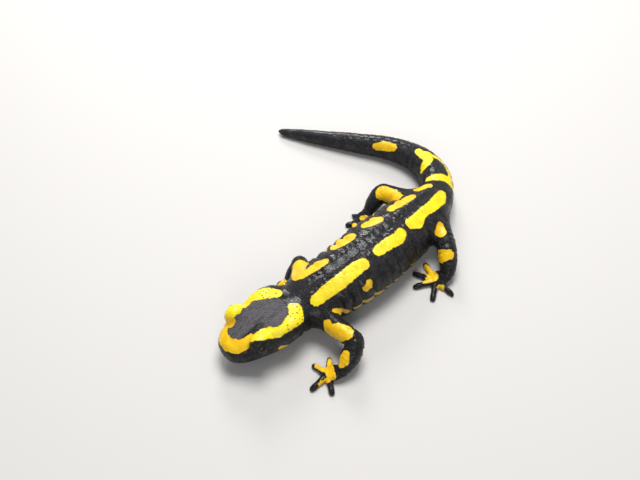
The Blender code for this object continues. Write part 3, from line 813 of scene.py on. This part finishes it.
def add_math(tree, operation, a, b=0.5, c=None, clamp=False):
    """A math node; a, b and c are sockets or numbers."""
    node = tree.nodes.new("ShaderNodeMath")
    node.operation, node.use_clamp = operation, clamp
    for socket, value in zip(node.inputs, (a, b, c)):
        if isinstance(value, (int, float)):
            socket.default_value = value
        elif value is not None:
            tree.links.new(value, socket)
    return node.outputs[0]


def times(tree, a, b):
    """Product of two sockets or numbers."""
    return add_math(tree, "MULTIPLY", a, b)


def add_mix(tree, factor, a, b):
    """Mix two colours; each is a socket or an RGB triple."""
    node = tree.nodes.new("ShaderNodeMix")
    node.data_type = "RGBA"
    for socket, value in zip((node.inputs[0], node.inputs[6], node.inputs[7]), (factor, a, b)):
        if isinstance(value, tuple):
            socket.default_value = (*value, 1.0)
        elif isinstance(value, float):
            socket.default_value = value
        else:
            tree.links.new(value, socket)
    return node.outputs[2]


def add_noise(tree, vector, size, detail=3.0, roughness=0.55):
    """Noise whose lumps are about the given size in millimetres."""
    node = tree.nodes.new("ShaderNodeTexNoise")
    node.inputs["Scale"].default_value = 1.0 / size
    node.inputs["Detail"].default_value = detail
    node.inputs["Roughness"].default_value = roughness
    tree.links.new(vector, node.inputs["Vector"])
    return node.outputs["Fac"]


def add_step(tree, value, low, high):
    """Smooth step of a socket between two numbers."""
    node = tree.nodes.new("ShaderNodeMapRange")
    node.interpolation_type = "SMOOTHSTEP"
    node.inputs["From Min"].default_value, node.inputs["From Max"].default_value = low, high
    tree.links.new(value, node.inputs["Value"])
    return node.outputs["Result"]


def add_cells(tree, vector, size, feature="F1"):
    """Distance to scattered cell centres, for cells of the given size in millimetres."""
    node = tree.nodes.new("ShaderNodeTexVoronoi")
    node.feature = feature
    node.inputs["Scale"].default_value = 1.0 / size
    tree.links.new(vector, node.inputs["Vector"])
    return node.outputs["Distance"]


FLOAT, VECTOR = "NodeSocketFloat", "NodeSocketVector"
MM_GROUP, entry, leave = new_group("Millimetres", [("Object", VECTOR, None)], [("Vector", VECTOR)])
bigger = MM_GROUP.nodes.new("ShaderNodeVectorMath")
bigger.operation = "SCALE"
bigger.inputs["Scale"].default_value = 1.0 / METRES
MM_GROUP.links.new(entry.outputs[0], bigger.inputs[0])
MM_GROUP.links.new(bigger.outputs[0], leave.inputs[0])

GRAIN_GROUP, entry, leave = new_group(
    "Skin Grain",
    [("Vector", VECTOR, None), ("Granules", FLOAT, 1.0), ("Creases", FLOAT, 0.5)],
    [("Height", FLOAT), ("Hollow Shade", FLOAT)],
)
spot = entry.outputs["Vector"]
beads = add_step(GRAIN_GROUP, add_cells(GRAIN_GROUP, spot, 0.62), 0.62, 0.10)
fine = add_step(GRAIN_GROUP, add_cells(GRAIN_GROUP, spot, 0.27), 0.6, 0.15)
crease = add_step(GRAIN_GROUP, add_cells(GRAIN_GROUP, spot, 1.5, "DISTANCE_TO_EDGE"), 0.0, 0.10)
soft = add_noise(GRAIN_GROUP, spot, 0.9, 4.0)
height = add_math(GRAIN_GROUP, "ADD", times(GRAIN_GROUP, beads, 0.7), times(GRAIN_GROUP, fine, 0.3))
height = times(GRAIN_GROUP, height, entry.outputs["Granules"])
height = add_math(GRAIN_GROUP, "ADD", height, times(GRAIN_GROUP, crease, entry.outputs["Creases"]))
height = add_math(GRAIN_GROUP, "ADD", height, times(GRAIN_GROUP, soft, 0.6))
GRAIN_GROUP.links.new(height, leave.inputs["Height"])
# The hollow output is used to paint shade: it is high between the beads, where the skin colour is darkened
GRAIN_GROUP.links.new(add_math(GRAIN_GROUP, "SUBTRACT", 1.0, beads), leave.inputs["Hollow Shade"])

WET_GROUP, entry, leave = new_group(
    "Wet Film",
    [("Vector", VECTOR, None), ("Dry Roughness", FLOAT, 0.5), ("Wet Roughness", FLOAT, 0.25)],
    [("Roughness", FLOAT), ("Film", FLOAT)],
)
spot, dry, wet = (entry.outputs[label] for label in ("Vector", "Dry Roughness", "Wet Roughness"))
patches = add_step(WET_GROUP, add_noise(WET_GROUP, spot, 3.2, 5.0, 0.7), 0.30, 0.70)
spread = add_math(WET_GROUP, "SUBTRACT", wet, dry)
gloss = add_math(WET_GROUP, "MULTIPLY_ADD", patches, spread, dry)
WET_GROUP.links.new(gloss, leave.inputs["Roughness"])
WET_GROUP.links.new(patches, leave.inputs["Film"])
print("shader groups", [tree.name for tree in bpy.data.node_groups])

# %% [markdown]
# ## The skin material
# Wet black skin looks black only between its highlights, so the base is a very dark grey with a
# broken, granular gloss. On top of the back the black is lifted to a cloudy grey, a painted sheen
# of reflected sky, and the hollows between the beads are painted darker as shade. The yellow is
# part of the skin too: lemon on the back, more orange on snout, limbs and the far row; on the
# limbs, the far row and the lower spots that orange is partly the skin's own tone and partly
# painted shade. The low flank stripe is its yellow painted darker olive, as painted shade. The
# edge comes from the stored distance plus a little noise, which makes it crisp and slightly
# ragged. The gland pores are small dark pits in the yellow.

# %% Material parts
def use_group(tree, group, links=(), **values):
    """Place a node group with its own values and linked inputs."""
    node = tree.nodes.new("ShaderNodeGroup")
    node.node_tree = group
    for label, value in values.items():
        node.inputs[label.replace("_", " ")].default_value = value
    for label, socket in links:
        tree.links.new(socket, node.inputs[label])
    return node


def read(tree, name):
    """A stored number of the skin."""
    node = tree.nodes.new("ShaderNodeAttribute")
    node.attribute_name = name
    return node.outputs["Fac"]


def new_material(name, gloss, coat_gloss, bump_distance):
    """A material with its shader, millimetre coordinate and bump."""
    finish = bpy.data.materials.new(name)
    finish.use_nodes = True
    tree = finish.node_tree
    shader = tree.nodes["Principled BSDF"]
    shader.inputs["Roughness"].default_value = gloss
    shader.inputs["Coat Roughness"].default_value = coat_gloss
    coordinate = tree.nodes.new("ShaderNodeTexCoord")
    scaled = use_group(tree, MM_GROUP, [("Object", coordinate.outputs["Object"])])
    bump = tree.nodes.new("ShaderNodeBump")
    bump.inputs["Distance"].default_value = bump_distance * METRES
    tree.links.new(bump.outputs["Normal"], shader.inputs["Normal"])
    return finish, tree, shader, scaled.outputs[0], bump


# Lemon and orange are both the skin's yellow; the orange of the far row, the lower spots and the limbs is
# partly its own warmer tone and partly painted shade
LEMON, LEMON_DEEP = (0.90, 0.78, 0.012), (0.86, 0.60, 0.008)
ORANGE, ORANGE_DEEP = (0.93, 0.61, 0.006), (0.85, 0.45, 0.004)
# The olive is the yellow of the low flank stripe painted darker, as painted shade
SHADED_OLIVE = (0.52, 0.38, 0.03)
# The second colour on the next line is a painted sheen: the grey of sky reflected on top of the black back
JET, BACK_SHEEN_GREY = (0.0045, 0.0042, 0.0050), (0.024, 0.021, 0.026)
CROWN_GREY, BELLY_GREY = (0.105, 0.098, 0.104), (0.045, 0.040, 0.038)
PORE_BROWN = (0.045, 0.030, 0.003)


def skin_material(name, granules):
    """Skin with bands; granules is the height of its beads."""
    finish, tree, shader, spot, bump = new_material(name, 0.4, 0.10, 0.30)
    shader.inputs["Specular IOR Level"].default_value = 0.28
    grain = use_group(tree, GRAIN_GROUP, [("Vector", spot)], Granules=granules, Creases=0.35)
    wet = use_group(tree, WET_GROUP, [("Vector", spot)], Dry_Roughness=0.44, Wet_Roughness=0.27)
    ragged = add_math(tree, "SUBTRACT", add_noise(tree, spot, 1.1, 4.0), 0.5)
    edge = add_math(tree, "MULTIPLY_ADD", ragged, 1.3, read(tree, "mark"))
    yellow = add_step(tree, edge, -0.09, 0.09)
    rim = add_step(tree, edge, 0.75, 0.05)
    cloud = add_noise(tree, spot, 2.6, 4.0)
    # Orange here is partly the skin's own tone and partly painted shade on the far row, lower spots and
    # limbs
    warm_and_shaded_here = add_math(tree, "ADD", read(tree, "warm_and_shaded"), times(tree, rim, 0.25), clamp=True)
    bright = add_mix(tree, add_step(tree, cloud, 0.3, 0.75), LEMON, LEMON_DEEP)
    deep = add_mix(tree, add_step(tree, cloud, 0.3, 0.75), ORANGE, ORANGE_DEEP)
    sun = add_mix(tree, warm_and_shaded_here, bright, deep)
    # Painted shade: the low flank stripe's yellow is darkened to olive
    sun = add_mix(tree, read(tree, "olive_shade"), sun, SHADED_OLIVE)
    pores = add_step(tree, add_cells(tree, spot, 1.15), 0.29, 0.19)
    pores = times(tree, pores, add_step(tree, read(tree, "glandular"), 0.25, 0.6))
    pores = times(tree, pores, yellow)
    sun = add_mix(tree, times(tree, pores, 0.8), sun, PORE_BROWN)
    # Painted sheen: the top of the back is lifted from jet to a cloudy grey of reflected sky
    painted_back_sheen = times(tree, read(tree, "back"), add_step(tree, cloud, 0.25, 0.7))
    dark = add_mix(tree, painted_back_sheen, JET, BACK_SHEEN_GREY)
    # Painted shade: the hollows between the beads are darkened back to jet
    dark = add_mix(tree, times(tree, grain.outputs["Hollow Shade"], 0.5), dark, JET)
    dark = add_mix(tree, read(tree, "belly"), dark, BELLY_GREY)
    dark = add_mix(tree, read(tree, "crown"), dark, CROWN_GREY)
    tree.links.new(add_mix(tree, yellow, dark, sun), shader.inputs["Base Color"])
    dry = times(tree, read(tree, "crown"), 0.22)
    tree.links.new(add_math(tree, "ADD", wet.outputs["Roughness"], dry), shader.inputs["Roughness"])
    film = times(tree, wet.outputs["Film"], 0.45)
    film = add_math(tree, "SUBTRACT", film, times(tree, read(tree, "crown"), 0.4), clamp=True)
    tree.links.new(film, shader.inputs["Coat Weight"])
    pitted = add_math(tree, "SUBTRACT", grain.outputs["Height"], pores)
    relief = add_math(tree, "SUBTRACT", 1.0, times(tree, yellow, 0.74))
    tree.links.new(times(tree, pitted, relief), bump.inputs["Height"])
    return finish


SKIN_FINISH = skin_material("wet_banded_skin", 1.0)
GLAND_FINISH = skin_material("gland_skin", 0.35)
skin_mesh.materials.clear()
skin_mesh.materials.append(SKIN_FINISH)
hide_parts(*FLESH)
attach(skin_piece, "root")
print("skin replaces", len(FLESH), "nodes")

# %% [markdown]
# ## Granules
# The back and flanks are set with small glands that catch the light. There are thousands, far
# too many to place by hand, so Geometry Nodes scatter a low dome of a few dozen faces over the
# skin. The tree keeps the domes apart, picks sizes from a fixed seed, and leaves out the lips,
# belly and toes by a stored density.

# %% A tree that sets domes on a surface
def dome_mesh(sides=7):
    """A closed low dome of unit radius."""
    form = bmesh.new()
    rings = []
    for radius, height in ((1.0, -0.35), (0.82, 0.18), (0.45, 0.40)):
        turns = [2 * math.pi * i / sides for i in range(sides)]
        rings.append([form.verts.new((radius * math.cos(t), radius * math.sin(t), height)) for t in turns])
    crest = form.verts.new((0, 0, 0.47))
    for low, high in zip(rings[:-1], rings[1:]):
        for i in range(sides):
            j = (i + 1) % sides
            form.faces.new((low[i], low[j], high[j], high[i]))
    for i in range(sides):
        form.faces.new((rings[-1][i], rings[-1][(i + 1) % sides], crest))
    form.faces.new(rings[0][::-1])
    mesh = mesh_from("gland_dome", form)
    mesh.shade_smooth()
    return shown("gland_dome", mesh)


def gland_tree():
    """Geometry Nodes that scatter domes where the density attribute allows."""
    tree = bpy.data.node_groups.new("Gland Domes", "GeometryNodeTree")
    for label, kind in (
        ("Skin", "Geometry"), ("Dome", "Object"), ("Spacing", "Float"), ("Crowding", "Float"),
        ("Smallest", "Float"), ("Largest", "Float"), ("Seed", "Int"), ("Finish", "Material"),
    ):
        tree.interface.new_socket(name=label, in_out="INPUT", socket_type="NodeSocket" + kind)
    tree.interface.new_socket(name="Glands", in_out="OUTPUT", socket_type="NodeSocketGeometry")
    make = tree.nodes.new
    entry, leave = make("NodeGroupInput"), make("NodeGroupOutput")
    scatter = make("GeometryNodeDistributePointsOnFaces")
    scatter.distribute_method = "POISSON"
    density = make("GeometryNodeInputNamedAttribute")
    density.data_type = "FLOAT"
    density.inputs["Name"].default_value = "gland_density"
    info, sizes = make("GeometryNodeObjectInfo"), make("FunctionNodeRandomValue")
    place_domes = make("GeometryNodeInstanceOnPoints")
    real, coat = make("GeometryNodeRealizeInstances"), make("GeometryNodeSetMaterial")
    for source, output, target, socket in (
        (entry, "Skin", scatter, "Mesh"), (entry, "Spacing", scatter, "Distance Min"),
        (entry, "Crowding", scatter, "Density Max"), (entry, "Seed", scatter, "Seed"),
        (density, "Attribute", scatter, "Density Factor"), (entry, "Dome", info, "Object"),
        (entry, "Smallest", sizes, 2), (entry, "Largest", sizes, 3), (entry, "Seed", sizes, "Seed"),
        (scatter, "Points", place_domes, "Points"), (scatter, "Rotation", place_domes, "Rotation"),
        (info, "Geometry", place_domes, "Instance"), (sizes, 1, place_domes, "Scale"),
        (place_domes, "Instances", real, "Geometry"), (real, "Geometry", coat, "Geometry"),
        (entry, "Finish", coat, "Material"), (coat, "Geometry", leave, "Glands"),
    ):
        tree.links.new(source.outputs[output], target.inputs[socket])
    return tree


def grown(name, tree, values):
    """Mesh object from the skin through a tree with the given input values."""
    modifier = skin_piece.modifiers.new(name, "NODES")
    modifier.node_group = tree
    for socket in tree.interface.items_tree:
        if socket.in_out == "INPUT" and socket.name in values:
            modifier[socket.identifier] = values[socket.name]
    graph = bpy.context.evaluated_depsgraph_get()
    mesh = bpy.data.meshes.new_from_object(skin_piece.evaluated_get(graph))
    skin_piece.modifiers.remove(modifier)
    mesh.name = name
    return shown(name, mesh)


# %% Scatter the granules
density = on_body * smooth(3.0, 6.0, place[:, 2]) * (1 - smooth(95, 115, around))
density *= 1 - 0.75 * smooth(-0.3, 0.4, mark)
density *= 1 - 0.9 * crown * (station < 26)
density *= smooth(12, 24, station) * (1 - 0.6 * smooth(120, 160, station))
density = np.maximum(density, 0.4 * on_limb * (mark < 0))
set_attribute(skin_mesh, "gland_density", density)
dome = dome_mesh()
granules = grown("skin_granules", gland_tree(), {
    "Dome": dome, "Spacing": 0.80 * METRES, "Crowding": 1.5e6, "Smallest": 0.17 * METRES,
    "Largest": 0.34 * METRES, "Seed": 7, "Finish": GLAND_FINISH,
})
bpy.data.objects.remove(dome)
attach(granules, "root")
print("granule triangles", triangles(granules.data))

# %% [markdown]
# ## Eyes
# The eye is a dark, wet ball with a hardly visible brown iris and a round pupil. A plain ball
# would do for the gloss, but the real one bulges at the cornea, which gives the highlight its
# shape, so the ball is drawn out a little along the line of sight.

# %% Eyeballs
def eyeball(label):
    """A fine eyeball with a cornea bulge."""
    middle, sight, _, _ = eye_axes[label]
    form = bmesh.new()
    bmesh.ops.create_icosphere(form, subdivisions=5, radius=1.0)
    away = []
    for vert in form.verts:
        way = np.array(vert.co)
        away.append(math.degrees(math.acos(min(1.0, max(-1.0, way @ sight)))))
        swell = 1 + 0.045 * bell(away[-1], 30.0)
        vert.co = Vector((middle + way * (EYE_RADIUS - 0.02) * float(swell)) * METRES)
    mesh = mesh_from("eyeball_" + label, form)
    mesh.shade_smooth()
    set_attribute(mesh, "from_pupil", away)
    return shown("eyeball_" + label, mesh)


EYE_FINISH, tree, shader, spot, bump = new_material("wet_dark_eye", 0.08, 0.02, 0.01)
shader.inputs["Coat Weight"].default_value = 0.10
shader.inputs["Specular IOR Level"].default_value = 0.30
streaks = add_noise(tree, spot, 0.25, 4.0)
iris = add_mix(tree, add_step(tree, streaks, 0.35, 0.7), (0.010, 0.006, 0.004), (0.035, 0.018, 0.008))
pupil = add_step(tree, read(tree, "from_pupil"), 15.0, 19.0)
outside = add_step(tree, read(tree, "from_pupil"), 36.0, 46.0)
colour = add_mix(tree, outside, add_mix(tree, pupil, (0.0015, 0.0015, 0.0015), iris), (0.004, 0.003, 0.003))
tree.links.new(colour, shader.inputs["Base Color"])
wet = use_group(tree, WET_GROUP, [("Vector", spot)], Dry_Roughness=0.07, Wet_Roughness=0.03)
tree.links.new(wet.outputs["Roughness"], shader.inputs["Roughness"])
tree.links.new(streaks, bump.inputs["Height"])
for label in ("left", "right"):
    ball = eyeball(label)
    ball.data.materials.append(EYE_FINISH)
    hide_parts("eye_" + label)
    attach(ball, "root")
print("eyes", [tuple(round(float(v), 1) for v in eye_axes[label][0]) for label in eye_axes])

# %% [markdown]
# ## Studio and camera
# The animal stands on a plain pale floor under a large soft light, as an overcast sky gives. A
# backdrop could be curved up behind it, but the camera looks down, so a flat floor fills the
# view. The camera looks at the left side from in front and above.

# %% Floor, lights and camera
CAMERA_AZIMUTH, CAMERA_ELEVATION = 45.0, 52.0
CAMERA_DISTANCE, CAMERA_FIELD = 360.0, 36.0
CAMERA_TARGET = (-19.11, -4.55, 8.0)

FLOOR_HALF, FLOOR_HEIGHT = 900, -0.05

corners = [(x * FLOOR_HALF, y * FLOOR_HALF, FLOOR_HEIGHT) for x, y in ((-1, -1), (1, -1), (1, 1), (-1, 1))]
floor = object_from("studio_floor", corners, [(0, 1, 2, 3)], METRES)
floor_finish = bpy.data.materials.new("pale_floor")
floor_finish.use_nodes = True
floor_shader = floor_finish.node_tree.nodes["Principled BSDF"]
floor_shader.inputs["Base Color"].default_value = (0.62, 0.60, 0.57, 1.0)
floor_shader.inputs["Roughness"].default_value = 0.75
floor.data.materials.append(floor_finish)


def soft_light(name, spot, size, power, colour=(1.0, 1.0, 1.0)):
    """A square area light aimed at the animal; lengths in millimetres."""
    lamp = bpy.data.lights.new(name, "AREA")
    lamp.size, lamp.energy, lamp.color = size * METRES, power, colour
    item = shown(name, lamp)
    item.location = Vector(spot) * METRES
    item.rotation_euler = (-Vector(spot)).to_track_quat("-Z", "Y").to_euler()


soft_light("sky_key", (-140, 170, 620), 330, 4.6)
soft_light("front_fill", (420, -420, 380), 300, 0.9)
soft_light("back_rim", (-420, 300, 300), 180, 1.6)
world = bpy.data.worlds.new("studio_air")
world.use_nodes = True
world.node_tree.nodes["Background"].inputs["Color"].default_value = (0.86, 0.90, 1.0, 1.0)
world.node_tree.nodes["Background"].inputs["Strength"].default_value = 0.26
bpy.context.scene.world = world
bpy.context.scene.view_settings.view_transform = "Standard"

azimuth, elevation = math.radians(CAMERA_AZIMUTH), math.radians(CAMERA_ELEVATION)
backward = Vector((
    math.sin(azimuth) * math.cos(elevation), -math.cos(azimuth) * math.cos(elevation), math.sin(elevation)
))
lens = bpy.data.cameras.new("camera")
lens.sensor_fit = "HORIZONTAL"
lens.angle = math.radians(CAMERA_FIELD)
lens.clip_start = 0.01
camera = bpy.data.objects.new("camera", lens)
camera.location = (Vector(CAMERA_TARGET) + backward * CAMERA_DISTANCE) * METRES
camera.rotation_euler = backward.to_track_quat("Z", "Y").to_euler()
bpy.context.scene.collection.objects.link(camera)
bpy.context.scene.camera = camera
print("camera", [round(v, 3) for v in camera.location])
